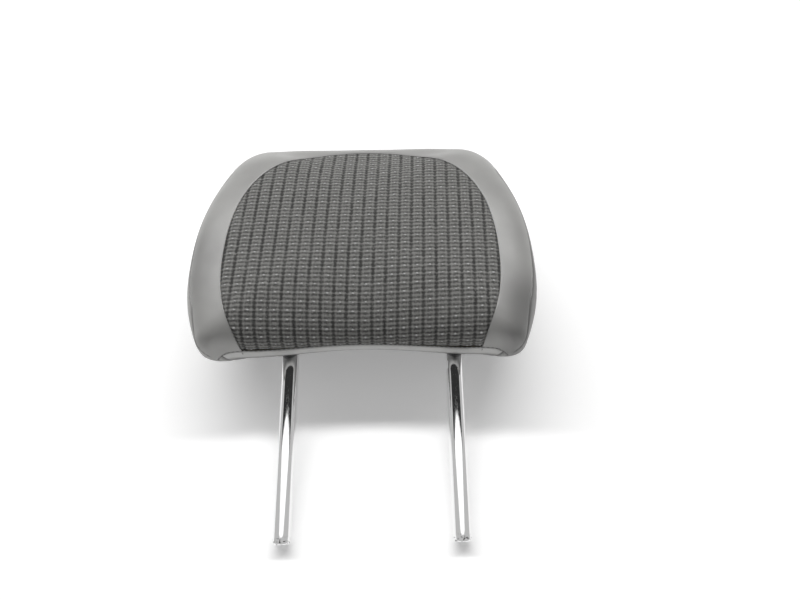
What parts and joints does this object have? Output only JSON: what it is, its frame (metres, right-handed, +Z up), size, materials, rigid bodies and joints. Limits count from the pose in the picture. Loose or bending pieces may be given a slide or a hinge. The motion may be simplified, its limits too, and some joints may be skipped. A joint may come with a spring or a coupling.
{
  "type": "car headrest",
  "caption": "Padded car seat headrest with a ribbed fabric front, smooth vinyl sides and a bent plated tube whose two straight posts slide into the seat.",
  "frame": {"origin": "middle of the whole object's footprint, on the surface that the headrest lies on with its back down and both post tips touching", "axes": "+Z up, out of the cushion's front; +Y from the post tips towards the cushion's top; +X to the right as seen from the post tips"},
  "size_m": [0.281, 0.3348, 0.0953],
  "materials": {
    "plated_steel": "bright plated, polished",
    "vinyl": "grey grained vinyl, soft sheen",
    "vinyl_back": "grey grained vinyl, soft sheen",
    "woven_fabric": "dark ribbed weave with rows of light dots",
    "foam": "moulded open foam",
    "carrier_plastic": "moulded, matt",
    "trim_plastic": "moulded, matt",
    "screw_steel": "zinc plated"
  },
  "bodies": {
    "root": {"foam_bun": "foam", "fabric_insert": "woven_fabric", "front_surround": "vinyl", "back_panel": "vinyl_back", "bottom_panel": "vinyl", "post_grommet_left": "trim_plastic", "post_grommet_right": "trim_plastic", "closure_strip_front": "trim_plastic", "closure_strip_back": "trim_plastic", "post_tube": "plated_steel", "carrier_front": "carrier_plastic", "carrier_rear": "carrier_plastic", "carrier_screw_1": "screw_steel", "carrier_screw_2": "screw_steel", "carrier_screw_3": "screw_steel", "carrier_screw_4": "screw_steel"}
  },
  "joints": []
}
